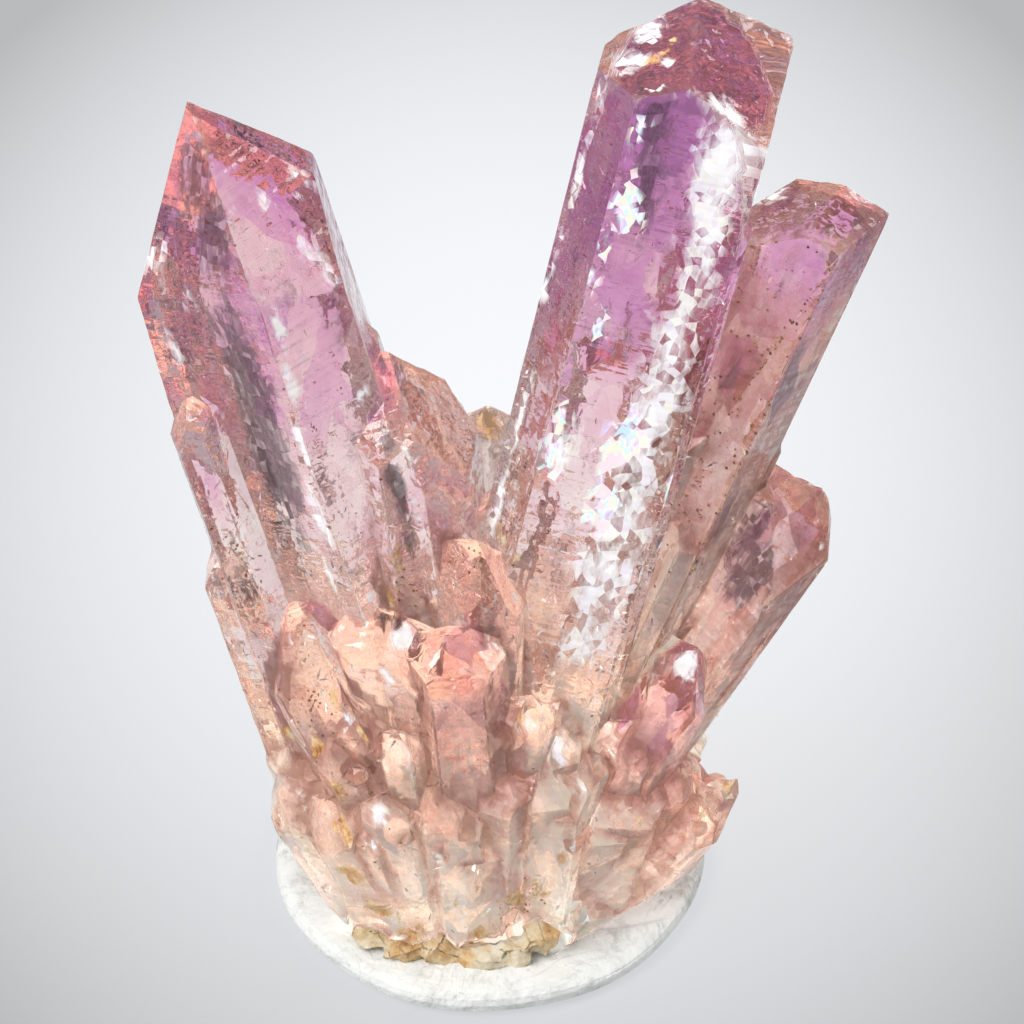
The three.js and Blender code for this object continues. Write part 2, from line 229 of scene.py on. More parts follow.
def joints_of(mesh, places, outward):
    """For each vertex, how deep in a joint between two crystals it is, spread over its neighbours. The materials
    darken the joints with it as painted shade.
    """
    triangles = triangles_of(mesh)
    total = np.zeros_like(places)
    for corner in range(3):
        np.add.at(total, triangles[:, corner], places[triangles[:, corner - 1]])
    middle = total / np.bincount(triangles.ravel(), minlength=len(places))[:, None]
    joint_shade = np.clip(((middle - places) * outward).sum(1) / JOINT_DEPTH, 0, 1)
    for _ in range(3):
        spread = joint_shade.copy()
        for corner in range(3):
            here, there = triangles[:, corner], triangles[:, corner - 1]
            np.maximum.at(spread, here, 0.6 * joint_shade[there])
            np.maximum.at(spread, there, 0.6 * joint_shade[here])
        joint_shade = spread
    return joint_shade


# Painted shade in the joints between crystals: the tint turns deeper there and the cloudy film browner and thicker.
joint_shade = joints_of(crystal_mesh, flat_places, outward)
carry(crystal_mesh, "joint_shade", joint_shade)
carry(crystal_mesh, "facet_shade", facet_shade)
carry(crystal_mesh, "grown", crystal_grown)
carry(crystal_mesh, "zone", growth_zone(flat_places))
# Sharp edges: their wear roughens them, and they pale in the tint as a painted edge highlight.
carry(crystal_mesh, "wear_and_edge_highlight", sharp)


def add(tree, kind, values=(), **settings):
    """Adds a shader node. Settings are its own properties, and values pairs of an input and a constant or
    another node's output."""
    made = tree.nodes.new("ShaderNode" + kind)
    for name, value in settings.items():
        setattr(made, name, value)
    for key, value in values:
        if isinstance(value, bpy.types.NodeSocket):
            tree.links.new(value, made.inputs[key])
        else:
            made.inputs[key].default_value = value
    return made


def sum_of(tree, *terms):
    """Adds up (value, weight) terms."""
    total = 0.0
    for value, weight in terms:
        total = add(tree, "Math", [(0, value), (1, weight), (2, total)], operation="MULTIPLY_ADD").outputs[0]
    return total


def between(tree, value, low, high, to_low=0.0, to_high=1.0):
    """Maps low..high to to_low..to_high, clamped, with a smooth start and end."""
    made = add(tree, "MapRange", [("Value", value), ("From Min", low), ("From Max", high),
                                  ("To Min", to_low), ("To Max", to_high)], interpolation_type="SMOOTHSTEP")
    return made.outputs["Result"]


def ramp(tree, factor, stops):
    """A colour ramp through the stops, each (position, (red, green, blue))."""
    made = add(tree, "ValToRGB", [("Fac", factor)])
    while len(made.color_ramp.elements) < len(stops):
        made.color_ramp.elements.new(0.5)
    for element, (position, colour) in zip(made.color_ramp.elements, stops):
        element.position = position
        element.color = (*colour, 1)
    return made.outputs["Color"]


def noise(tree, place, scale, detail=4, **values):
    """Fractal noise at a place stretched by scale, which is one number or three per metre."""
    steps = scale if isinstance(scale, tuple) else (scale, scale, scale)
    moved = add(tree, "Mapping", [("Vector", place), ("Scale", steps)]).outputs["Vector"]
    inputs = [("Vector", moved), ("Scale", 1), ("Detail", detail)] + list(values.items())
    return add(tree, "TexNoise", inputs).outputs["Fac"]


def material(name, values=()):
    """A new material with one Principled BSDF. Returns the material, its node tree and the shader."""
    made = bpy.data.materials.new(name)
    made.use_nodes = True
    shader = made.node_tree.nodes["Principled BSDF"]
    for key, value in values:
        shader.inputs[key].default_value = value
    return made, made.node_tree, shader


def plug(tree, shader, **outputs):
    """Links outputs to the shader's sockets, named with underscores for spaces."""
    for name, output in outputs.items():
        tree.links.new(output, shader.inputs[name.replace("_", " ")])


def attribute(tree, name, output="Fac"):
    return add(tree, "Attribute", attribute_name=name).outputs[output]


# The relief of a crystal face, as a group that each crystal material uses: growth lines that run round the
# prism, shallow hillocks drawn out along it, and fine etching
relief = bpy.data.node_groups.new("face_relief", "ShaderNodeTree")
relief.interface.new_socket("Place", in_out="INPUT", socket_type="NodeSocketVector")
for socket_name, kind in (("Etch", "Float"), ("Patch", "Float"), ("Shard", "Float"), ("Normal", "Vector")):
    relief.interface.new_socket(socket_name, in_out="OUTPUT", socket_type="NodeSocket" + kind)
group_in = relief.nodes.new("NodeGroupInput")
group_out = relief.nodes.new("NodeGroupOutput")
place = group_in.outputs["Place"]
lines = noise(relief, place, (160, 160, 2300), 1)
etch = noise(relief, place, (1500, 1500, 700), 2, Roughness=0.62)
warp = add(relief, "TexNoise", [("Vector", place), ("Scale", 900), ("Detail", 0)]).outputs["Color"]
bent = add(relief, "VectorMath", [(0, warp), (1, (0.0006, 0.0006, 0.0009)), (2, place)],
           operation="MULTIPLY_ADD").outputs["Vector"]
CELL_SLANT = (0.7, 0.45, 0.9)
PATCH_TILT = 0.12
SHARD_TILT = 0.2


def cells(scale):
    """A random colour and a random number for each slanting cell of a bent net."""
    steps = add(relief, "Mapping", [("Vector", bent), ("Rotation", CELL_SLANT),
                                    ("Scale", scale)]).outputs["Vector"]
    cell = add(relief, "VectorMath", [(0, steps)], operation="FLOOR").outputs["Vector"]
    made = add(relief, "TexWhiteNoise", [("Vector", cell)])
    return made.outputs["Color"], made.outputs["Value"]


def lean_by(normal, colour, amount):
    """A normal tipped towards a cell's random colour, taken as a direction about grey."""
    centred = add(relief, "VectorMath", [(0, colour), (1, (0.5, 0.5, 0.5))], operation="SUBTRACT").outputs["Vector"]
    scaled = add(relief, "VectorMath", [(0, centred), ("Scale", amount)], operation="SCALE").outputs["Vector"]
    return add(relief, "VectorMath", [(0, normal), (1, scaled)], operation="ADD").outputs["Vector"]


patch_colour, patch = cells((800, 700, 450))
shard_colour, shard = cells((3000, 3600, 2100))
growth = add(relief, "Bump", [("Height", lines), ("Strength", 0.7), ("Distance", 0.12 * MM)]).outputs["Normal"]
amount = between(relief, etch, 0.36, 0.6, 0.15 * SHARD_TILT, SHARD_TILT)
tipped = lean_by(lean_by(growth, patch_colour, PATCH_TILT), shard_colour, amount)
normal = add(relief, "VectorMath", [(0, tipped)], operation="NORMALIZE").outputs["Vector"]
for socket_name, output in (("Etch", etch), ("Patch", patch), ("Shard", shard), ("Normal", normal)):
    relief.links.new(output, group_out.inputs[socket_name])


def relief_at(tree, place):
    made = add(tree, "Group")
    made.node_tree = relief
    tree.links.new(place, made.inputs["Place"])
    return made.outputs


crystal, tree, shader = material("zoned_crystal", [("Transmission Weight", 1), ("IOR", 1.56)])
grown = attribute(tree, "grown", "Vector")
face = relief_at(tree, grown)
blotch = noise(tree, add(tree, "TexCoord").outputs["Object"], 420, 2, Roughness=0.6)
zone = sum_of(tree, (attribute(tree, "zone"), 1.0), (blotch, 0.5), (face["Patch"], 0.34), (1.0, -0.40),
              (attribute(tree, "facet_shade"), 0.12), (attribute(tree, "joint_shade"), 0.25), (attribute(tree, "wear_and_edge_highlight"), -0.3))
# The tint pales on sharp edges as a painted edge highlight, partly real wear.
tint = ramp(tree, zone, [
    (0.0, (1.0, 0.96, 0.91)),
    (0.16, (0.99, 0.91, 0.88)),
    (0.38, (0.97, 0.82, 0.83)),
    (0.6, (0.93, 0.62, 0.69)),
    (0.82, (0.80, 0.38, 0.62)),
    (1.0, (0.66, 0.24, 0.60)),
])
dull = sum_of(tree, (attribute(tree, "wear_and_edge_highlight"), 0.25), (between(tree, face["Etch"], 0.56, 0.72), 0.12))
plug(tree, shader, Base_Color=tint, Normal=face["Normal"], Roughness=dull)
absorb = add(tree, "VolumeAbsorption", [("Color", (0.95, 0.76, 0.73, 1)), ("Density", 62)])
output = tree.nodes["Material Output"]
tree.links.new(absorb.outputs["Volume"], output.inputs["Volume"])
# Lamps reach what is inside the crystals
lamp = add(tree, "LightPath").outputs["Is Shadow Ray"]
clear = add(tree, "BsdfTransparent", [("Color", (1.0, 0.98, 0.97, 1))])
see = add(tree, "MixShader", [(0, lamp), (1, shader.outputs["BSDF"]), (2, clear.outputs["BSDF"])])
tree.links.new(see.outputs["Shader"], output.inputs["Surface"])


def show(mesh, name, finish, replaced=(), shades=True):
    """Puts a finished mesh into the scene as a piece of the object. A thin film inside the crystals does not
    shade."""
    piece = bpy.data.objects.new(name, mesh)
    bpy.context.scene.collection.objects.link(piece)
    mesh.materials.clear()
    mesh.materials.append(finish)
    mesh.polygons.foreach_set("use_smooth", np.ones(len(mesh.polygons), bool))
    piece.visible_shadow = shades
    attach(piece, "root")
    if replaced:
        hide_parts(*replaced)
    return piece


show(crystal_mesh, "crystals", crystal, ["crystal_cluster"])

# Milky heart
# The crystals turn cloudy towards the foot, where they began to grow: a peach-white haze inside, thick at the
# foot and thinning out upwards in wisps, and a cloudy film under the faces of the short crystals.
HEART_VOXEL = 0.55 * MM
HEART_DEPTH = 1.6 * MM
HAZE_TOP_MM = (4, 19)


def shrunken(depth, name):
    """The cluster's voxel remesh, moved inwards by depth along its normals and evened out."""
    source = bpy.data.objects.new(name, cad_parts["crystal_cluster"].data.copy())
    bpy.context.scene.collection.objects.link(source)
    remesh = source.modifiers.new("remesh", "REMESH")
    remesh.mode = "VOXEL"
    remesh.voxel_size = HEART_VOXEL
    made = bpy.data.meshes.new_from_object(source.evaluated_get(bpy.context.evaluated_depsgraph_get()))
    bpy.data.objects.remove(source)
    work = bmesh.new()
    work.from_mesh(made)
    bmesh.ops.triangulate(work, faces=work.faces)
    work.to_mesh(made)
    work.free()
    triangles = triangles_of(made)
    places = places_of(made)
    steps = 3
    for _ in range(steps):
        made.vertices.foreach_set("co", places.ravel())
        _, outward = edge_sharpness(made)
        total = np.zeros_like(places)
        for corner in range(3):
            np.add.at(total, triangles[:, corner], places[triangles[:, corner - 1]])
        faces = np.bincount(triangles.ravel(), minlength=len(places))[:, None]
        places = 0.5 * places + 0.5 * total / faces - outward * depth / steps
    made.vertices.foreach_set("co", places.ravel())
    return made


# Painted glow: near the foot the haze and the cloudy film emit their own colour, which lights the lower crystals as
# no lamp does.
PAINTED_GLOW = 0.33
PAINTED_GLOW_TOP = 11.5 * MM


def painted_glow_share(places):
    """1 just above the foot and 0 above the haze: how strongly the painted glow, an emission that stands in for the
    light the cloudy foot scatters, shows there.
    """
    return np.clip(1.4 - places[:, 2] / PAINTED_GLOW_TOP, 0, 1) * np.clip(0.6 + places[:, 2] / PAINTED_GLOW_TOP, 0, 1)


def painted_glow_of(tree, colour):
    """A painted glow: the surface's own colour as emission, scaled by how low on the crystals it is."""
    low = attribute(tree, "low")
    return add(tree, "VectorMath", [(0, colour), ("Scale", low)], operation="SCALE").outputs["Vector"]


# For each of the bigger crystals in turn and for the short ones: how far up its own length it is cloudy, and
# how much paler (above 0) or browner (below 0) it is than the rest
CLOUDINESS = [(0.46, 0.1), (0.44, 0.06), (0.98, -0.15), (0.85, -0.24), (1.04, -0.44), (0.98, -0.04), (0.98, -0.08),
              (1.06, -0.46), (1.04, -0.26), (1.08, -0.25), (0.98, -0.24), (1, 0.09)]


def own_tone(owner, share):
    """A crystal's own tone in its upper half, blended into the short ones' tone towards its foot."""
    tone = np.array(CLOUDINESS)[:, 1]
    upper = np.clip((share - 0.4) / 0.3, 0, 1)
    return tone[owner] * upper + tone[-1] * (1 - upper)


haze_mesh = shrunken(HEART_DEPTH, "milky_heart")
haze_places = places_of(haze_mesh)
low, high = HAZE_TOP_MM
wisp = 0.25 * scatter(haze_places, 3 * MM, 12) + 0.12 * scatter(haze_places, 1 * MM, 52)
carry(haze_mesh, "mark", np.clip((high - haze_places[:, 2] / MM) / (high - low) + wisp, 0, 1))
haze_owner, haze_grown, haze_share = growth_frames(haze_places)
carry(haze_mesh, "grown", haze_grown)
carry(haze_mesh, "own", own_tone(haze_owner, haze_share))
carry(haze_mesh, "low", painted_glow_share(haze_places))
# The haze's emission is a painted glow, strongest near the foot.
milk, tree, shader = material("milky_heart", [("Roughness", 0.5), ("Specular IOR Level", 0.25),
                                              ("Emission Strength", PAINTED_GLOW)])
grown = attribute(tree, "grown", "Vector")
face = relief_at(tree, grown)
streaks = noise(tree, grown, (1100, 1100, 300), 4, Roughness=0.7)
tone = sum_of(tree, (streaks, 0.7), (face["Patch"], 0.45), (attribute(tree, "own"), 1.0), (1.0, -0.12))
colour = ramp(tree, tone, [
    (0.05, (0.56, 0.28, 0.22)), (0.28, (0.84, 0.58, 0.45)), (0.42, (0.97, 0.85, 0.70)), (0.55, (1.0, 0.95, 0.81)),
    (0.75, (1.0, 0.98, 0.92)),
])
cover = sum_of(tree, (attribute(tree, "mark"), 1.6), (streaks, 1.3), (face["Patch"], 0.6), (1.0, -1.4))
plug(tree, shader, Base_Color=colour, Alpha=between(tree, cover, 0.0, 0.9, 0, 0.97), Normal=face["Normal"],
     Emission_Color=painted_glow_of(tree, colour))
show(haze_mesh, "milky_heart", milk, shades=False)

cloudy = np.array(CLOUDINESS)[owner, 0]
own = own_tone(owner, share)


def skin(name, strength, depth, finish, least=0.06):
    """The part of the crystals' surface that a strength marks, moved in along its normals by depth."""
    triangles = triangles_of(crystal_mesh)
    kept = triangles[strength[triangles].max(axis=1) > least]
    used, corners = np.unique(kept, return_inverse=True)
    mesh = bpy.data.meshes.new(name)
    mesh.from_pydata((crystal_places - outward * depth)[used], [], corners.reshape(-1, 3))
    for attribute_name, values in (("mark", strength), ("grown", crystal_grown), ("joint_shade", joint_shade), ("facet_shade", facet_shade),
                                   ("low", painted_glow_share(flat_places)), ("own", own)):
        carry(mesh, attribute_name, values[used])
    piece = show(mesh, name, finish, shades=False)
    mesh.set_sharp_from_angle(angle=SHARP_ANGLE)
    return piece


wisp = 0.3 * scatter(flat_places, 2.2 * MM, 61) + 0.2 * scatter(flat_places, 0.8 * MM, 62)
film_strength = np.clip((cloudy - share) / 0.22 + wisp, 0, 1)
FILM_DEPTH = 0.1 * MM
# The film's emission is a painted glow, strongest near the foot.
film, tree, shader = material("cloudy_film", [("Roughness", 0.3), ("Specular IOR Level", 0.6),
                                              ("Emission Strength", PAINTED_GLOW)])
grown = attribute(tree, "grown", "Vector")
face = relief_at(tree, grown)
streaks = noise(tree, grown, (1300, 1300, 420), 4, Roughness=0.7)
# In the joints the film's tone is pulled darker and its cover thickened, as painted shade.
tone = sum_of(tree, (streaks, 0.7), (face["Patch"], 0.3), (face["Shard"], 0.2), (attribute(tree, "facet_shade"), 0.3),
              (attribute(tree, "joint_shade"), -0.45), (attribute(tree, "own"), 1.0), (1.0, -0.26))
colour = ramp(tree, tone, [
    (0.05, (0.42, 0.21, 0.15)), (0.28, (0.78, 0.50, 0.42)), (0.42, (0.95, 0.77, 0.64)), (0.56, (1.0, 0.91, 0.76)),
    (0.75, (1.0, 0.98, 0.93)),
])
cover = sum_of(tree, (attribute(tree, "mark"), 1.3), (streaks, 1.1), (face["Patch"], 0.5),
               (attribute(tree, "joint_shade"), 0.5), (1.0, -1.5))
plug(tree, shader, Base_Color=colour, Alpha=between(tree, cover, 0.0, 1.0, 0, 0.84), Normal=face["Normal"],
     Emission_Color=painted_glow_of(tree, colour))
skin("cloudy_film", film_strength, FILM_DEPTH, film)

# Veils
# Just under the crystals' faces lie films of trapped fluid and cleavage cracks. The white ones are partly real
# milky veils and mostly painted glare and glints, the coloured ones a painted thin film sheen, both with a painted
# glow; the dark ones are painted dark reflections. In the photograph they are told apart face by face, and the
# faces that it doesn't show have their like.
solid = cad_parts["crystal_cluster"].data
solid_tree = BVHTree.FromPolygons([v.co for v in solid.vertices], [p.vertices[:] for p in solid.polygons])


def seen(x, y):
    """The place on the crystals that the camera sees at a pixel of the photograph, and the face's normal."""
    place, normal, *_ = solid_tree.ray_cast(camera.location, through_pixel(x, y))
    return np.array(place), np.array(normal)


def marks_at(pixels):
    """Marks given by their pixel: (x, y, reach across in mm, reach along the crystal in mm, strength)."""
    return [(*seen(x, y), across, along, strength) for x, y, across, along, strength in pixels]


def unseen(count, seed, across, along):
    """Marks of like sizes on faces that the camera doesn't see, above the foot."""
    random = np.random.default_rng(seed)
    away = outward @ np.array(towards_camera) < 0.05
    choice = random.choice(np.flatnonzero(away & (flat_places[:, 2] > 7 * MM) & (sharp < 0.1)), count, replace=False)
    sizes = random.uniform(0.6, 1.3, (count, 2)) * (across, along)
    return [(flat_places[spot], outward[spot], *size, strength)
            for spot, size, strength in zip(choice, sizes, random.uniform(0.6, 1, count))]


def covered(marks):
    """How strongly each place on the crystals is marked: each mark is a bell, wide by its reach across the
    crystal that it is on and long by its reach along it, kept to the face that it is on; the strongest counts."""
    most = np.zeros(len(flat_places))
    for spot, normal, across, along, strength in marks:
        owner = growth_frames(spot[None])[0][0]
        lean = AXES[owner] if owner >= 0 else (spot - SPRAY_ROOT) / np.linalg.norm(spot - SPRAY_ROOT)
        offset = flat_places - spot
        up = offset @ lean
        aside = (offset * offset).sum(1) - up * up
        bell = np.exp(-((up / (along * MM)) ** 2) - aside / (across * MM) ** 2)
        most = np.maximum(most, strength * bell * np.clip((outward @ normal - 0.7) / 0.2, 0, 1))
    return most


# Painted glare and glints, with some real white veils, each at a pixel
GLARE_AND_VEIL_PIXELS = [
    (728, 120, 1.0, 2.4, 1.3), (720, 165, 1.2, 2.6, 1.3), (714, 215, 1.1, 2.4, 1.2), (694, 280, 1.1, 3, 0.9),
    (672, 345, 1.3, 3, 1), (655, 400, 1.5, 3, 1), (640, 460, 1.8, 3.4, 1), (622, 520, 1.8, 3.4, 1),
    (603, 580, 1.8, 3.2, 1), (585, 635, 1.6, 2.4, 0.9), (560, 450, 1.1, 2.4, 0.85), (520, 420, 0.35, 4, 0.9),
    (500, 500, 0.45, 2.6, 1), (545, 290, 0.4, 0.8, 0.9), (560, 240, 0.3, 2, 0.8), (650, 30, 0.9, 2.2, 1.1),
    (668, 62, 0.4, 1.2, 0.9), (600, 100, 0.5, 3, 0.7), (630, 60, 1.0, 1.6, 1.1), (578, 180, 0.4, 2.4, 0.9),
    (160, 270, 1.2, 2.6, 0.75), (318, 265, 0.9, 3, 0.75), (265, 200, 0.7, 2.4, 0.65),
    (278, 325, 0.4, 1.6, 1), (292, 390, 0.45, 2, 1), (306, 450, 0.5, 2.2, 1.1), (320, 520, 0.4, 2.4, 1.1),
    (330, 575, 0.22, 1.4, 1), (175, 350, 0.6, 1.6, 0.8), (190, 300, 0.6, 0.9, 0.7), (300, 180, 0.6, 1.4, 0.7),
    (362, 393, 0.5, 0.5, 1.1), (405, 450, 0.2, 2, 1.1), (415, 510, 0.2, 2, 1), (230, 200, 0.4, 1.4, 0.6),
    (775, 195, 0.7, 1, 0.9), (835, 235, 0.3, 0.4, 0.9), (820, 515, 0.3, 0.7, 1), (820, 545, 0.25, 0.5, 0.9),
    (690, 666, 0.9, 0.8, 1.3), (680, 757, 0.2, 0.4, 1), (402, 638, 0.7, 0.7, 1.3), (388, 678, 0.45, 0.7, 1.3),
    (372, 597, 0.4, 0.4, 1.1), (515, 597, 0.3, 0.6, 1), (497, 645, 0.7, 0.9, 0.7), (377, 815, 0.5, 0.7, 1.2),
    (372, 845, 0.6, 0.5, 1.1), (350, 720, 0.4, 0.5, 1), (560, 745, 0.9, 1.3, 0.9), (530, 720, 0.4, 1, 0.8),
    (580, 790, 0.7, 1.2, 0.8), (300, 800, 0.4, 0.6, 0.8), (700, 240, 0.5, 2, 0.7), (440, 860, 0.4, 1, 0.7),
    (470, 760, 0.3, 1.4, 0.6), (410, 760, 0.3, 1.2, 0.6), (290, 640, 0.3, 0.7, 0.8), (640, 720, 0.3, 1, 0.6),
]
# White along sharp edges outside the joints: partly the frost of real chipping, partly a painted edge highlight.
EDGE_FROST_AND_HIGHLIGHT = 0.5
GLARE_AND_VEIL_LIFT = 0.02 * MM
edge_frost_and_highlight = EDGE_FROST_AND_HIGHLIGHT * sharp * (joint_shade < 0.1)
# White veils: mostly painted glare and glints, partly real milky veils; their emission is a painted glow.
glare_and_veil, tree, shader = material("white_veil_and_glare", [("Roughness", 0.25), ("Emission Strength", 0.22)])
grown = attribute(tree, "grown", "Vector")
face = relief_at(tree, grown)
streaks = noise(tree, grown, (1500, 1500, 500), 3, Roughness=0.68)
cover = sum_of(tree, (attribute(tree, "mark"), 1.9), (streaks, 2.0), (face["Shard"], 0.9), (face["Patch"], 0.5),
               (1.0, -2.6))
colour = ramp(tree, face["Shard"], [
    (0.0, (0.74, 0.64, 0.70)), (0.2, (0.93, 0.88, 0.91)), (0.45, (1.0, 1.0, 1.0)), (0.7, (0.94, 0.92, 0.96)),
    (0.85, (1.0, 0.99, 0.90)), (1.0, (0.93, 0.86, 0.97)),
])
plug(tree, shader, Base_Color=colour, Emission_Color=colour, Alpha=between(tree, cover, 0.0, 1.15, 0, 0.95),
     Normal=face["Normal"])
glare_and_veil_marks = covered(marks_at(GLARE_AND_VEIL_PIXELS) + unseen(34, 3, 0.9, 2.6))
skin("white_veils_and_glare", np.maximum(glare_and_veil_marks, edge_frost_and_highlight), -GLARE_AND_VEIL_LIFT, glare_and_veil)

# Painted dark reflections: dark grey sheets under the faces where the crystals show dark things refracted or
# reflected.
DARK_REFLECTION_PIXELS = [
    (655, 120, 1.1, 3, 1), (645, 190, 1, 3, 1), (575, 260, 0.6, 2, 0.8), (600, 330, 0.4, 2, 0.9),
    (585, 230, 0.9, 1.8, 0.7), (195, 180, 1.1, 2.6, 1.4), (212, 235, 1.2, 3, 1.4), (232, 320, 1, 3, 0.9),
    (250, 385, 1.3, 4.4, 1.4), (272, 460, 1.2, 4.4, 1.4), (292, 525, 0.7, 2.4, 0.9), (222, 370, 0.5, 2.6, 0.7),
    (386, 440, 0.5, 2, 1.2), (398, 490, 0.5, 2.4, 1.2), (408, 540, 0.35, 1.6, 1.1), (360, 540, 0.5, 1.4, 0.6),
    (745, 530, 1.3, 2.6, 1.5), (750, 575, 1.3, 2, 1.5), (768, 600, 0.6, 1.8, 0.9), (775, 290, 0.6, 2.6, 0.6),
    (690, 640, 0.4, 0.5, 0.7), (360, 745, 0.5, 0.6, 0.8), (690, 715, 0.4, 1, 0.7), (660, 545, 0.3, 0.8, 0.8),
    (320, 690, 0.5, 0.9, 0.6), (520, 700, 0.2, 1.4, 0.6), (600, 860, 0.4, 1.2, 0.6), (640, 800, 0.4, 1.2, 0.5),
]
DARK_REFLECTION_DEPTH = 0.05 * MM
# The dark veils' colour is a painted dark reflection.
dark_reflection, tree, shader = material("dark_reflection_veil", [("Roughness", 0.2)])
grown = attribute(tree, "grown", "Vector")
face = relief_at(tree, grown)
streaks = noise(tree, grown, (1900, 1900, 380), 3, Roughness=0.7)
tone = sum_of(tree, (face["Shard"], 0.45), (streaks, 0.8))
colour = ramp(tree, tone, [
    (0.35, (0.05, 0.035, 0.045)), (0.62, (0.15, 0.10, 0.12)), (0.78, (0.40, 0.31, 0.33)), (0.92, (0.95, 0.90, 0.93)),
])
cover = sum_of(tree, (attribute(tree, "mark"), 1.7), (streaks, 2.2), (face["Shard"], 0.8), (1.0, -2.3))
plug(tree, shader, Base_Color=colour, Alpha=between(tree, cover, 0.0, 0.8, 0, 0.8), Normal=face["Normal"])
dark_reflection_marks = covered(marks_at(DARK_REFLECTION_PIXELS) + unseen(16, 4, 0.8, 2.4))
skin("dark_reflection_veils", dark_reflection_marks, DARK_REFLECTION_DEPTH, dark_reflection)

# Painted thin film sheen: fixed rainbow colours and white, with a painted glow, where cracks flash in colours.
RAINBOW_SHEEN_PIXELS = [
    (627, 213, 0.7, 1.5, 1), (606, 240, 0.5, 0.9, 0.7), (550, 450, 0.4, 1.6, 1), (560, 420, 0.3, 0.8, 0.8),
    (620, 450, 0.8, 1.8, 1), (605, 500, 0.8, 1.6, 0.9), (600, 325, 0.3, 0.7, 0.9), (655, 90, 0.4, 0.5, 0.8),
    (640, 130, 0.3, 0.6, 0.6), (590, 280, 0.3, 0.8, 0.6), (660, 547, 0.14, 0.4, 0.7), (355, 845, 0.3, 0.3, 0.5),
]
RAINBOW_SHEEN_LIFT = 0.035 * MM
rainbow_sheen, tree, shader = material("rainbow_sheen_veil", [("Roughness", 0.15), ("Emission Strength", 0.25)])
grown = attribute(tree, "grown", "Vector")
face = relief_at(tree, grown)
bands = noise(tree, grown, (1300, 1300, 700), 1)
colour = ramp(tree, sum_of(tree, (bands, 1.1), (face["Shard"], 0.42), (1.0, -0.26)), [
    (0.26, (0.62, 0.84, 1.0)), (0.36, (1.0, 1.0, 1.0)), (0.42, (0.98, 0.72, 0.95)), (0.48, (0.70, 0.62, 1.0)),
    (0.54, (1.0, 1.0, 1.0)), (0.60, (0.66, 0.97, 0.98)), (0.66, (1.0, 0.99, 0.74)), (0.74, (1.0, 0.80, 0.86)),
])
cover = sum_of(tree, (attribute(tree, "mark"), 1.6), (face["Shard"], 1.0), (face["Patch"], 0.5), (1.0, -1.35))
plug(tree, shader, Base_Color=colour, Emission_Color=colour, Alpha=between(tree, cover, 0.0, 0.4, 0, 0.95))
rainbow_sheen_marks = covered(marks_at(RAINBOW_SHEEN_PIXELS) + unseen(8, 5, 0.5, 1.2))
skin("rainbow_sheen_veils", rainbow_sheen_marks, -RAINBOW_SHEEN_LIFT, rainbow_sheen)

# Healed cracks
# Tilted wavy discs across the tall crystals, where a break grew shut and left a film of tiny droplets.
CRACK_COUNT = 15
random = np.random.default_rng(17)
ring, turn = np.meshgrid(np.linspace(0.02, 1, 16), np.linspace(0, 2 * math.pi, 41), indexing="ij")
crack_places, crack_faces, crack_edge = [], [], []
for number in range(CRACK_COUNT):
    crystal_number = (0, 1, 2, 0, 1)[number % 5]
    axis, half = AXES[crystal_number], HALVES[crystal_number]
    normal = axis + random.normal(0, 0.7, 3)
    normal /= np.linalg.norm(normal)
    across = np.cross(normal, (0, 0, 1))
    across /= np.linalg.norm(across)
    along = np.cross(normal, across)
    middle = FEET[crystal_number] + axis * LENGTHS[crystal_number] * random.uniform(0.4, 0.86)
    reach = half * random.uniform(0.35, 0.68) * (1 + 0.16 * np.sin(turn * random.integers(2, 5) + number)) * ring
    lift = 0.13 * half * np.sin(3 * turn + number) * ring ** 2 + 0.1 * half * np.cos(5 * ring + number)
    crack_places.append((middle + across * (reach * np.cos(turn))[..., None]
                         + along * (reach * np.sin(turn))[..., None] + normal * lift[..., None]).reshape(-1, 3))
    corner = np.arange(15)[:, None] * 41 + np.arange(40)[None] + number * ring.size
    crack_faces.append(np.stack([corner, corner + 41, corner + 42, corner + 1], axis=-1).reshape(-1, 4))
    crack_edge.append((1 - ring ** 2).ravel())
crack_mesh = bpy.data.meshes.new("healed_cracks")
crack_mesh.from_pydata(np.concatenate(crack_places), [], np.concatenate(crack_faces))
carry(crack_mesh, "mark", np.concatenate(crack_edge))
droplets, tree, shader = material("droplet_film", [("Roughness", 0.3), ("Base Color", (0.95, 0.90, 0.93, 1))])
place = add(tree, "TexCoord").outputs["Object"]
drops = add(tree, "TexVoronoi", [("Vector", place), ("Scale", 5200)]).outputs["Distance"]
patches = noise(tree, place, 900, 5, Roughness=0.65)
cover = sum_of(tree, (attribute(tree, "mark"), 0.7), (patches, 2.2), (drops, -0.6), (1.0, -1.2))
plug(tree, shader, Alpha=between(tree, cover, 0.0, 0.8, 0, 0.6))
show(crack_mesh, "healed_cracks", droplets, shades=False)

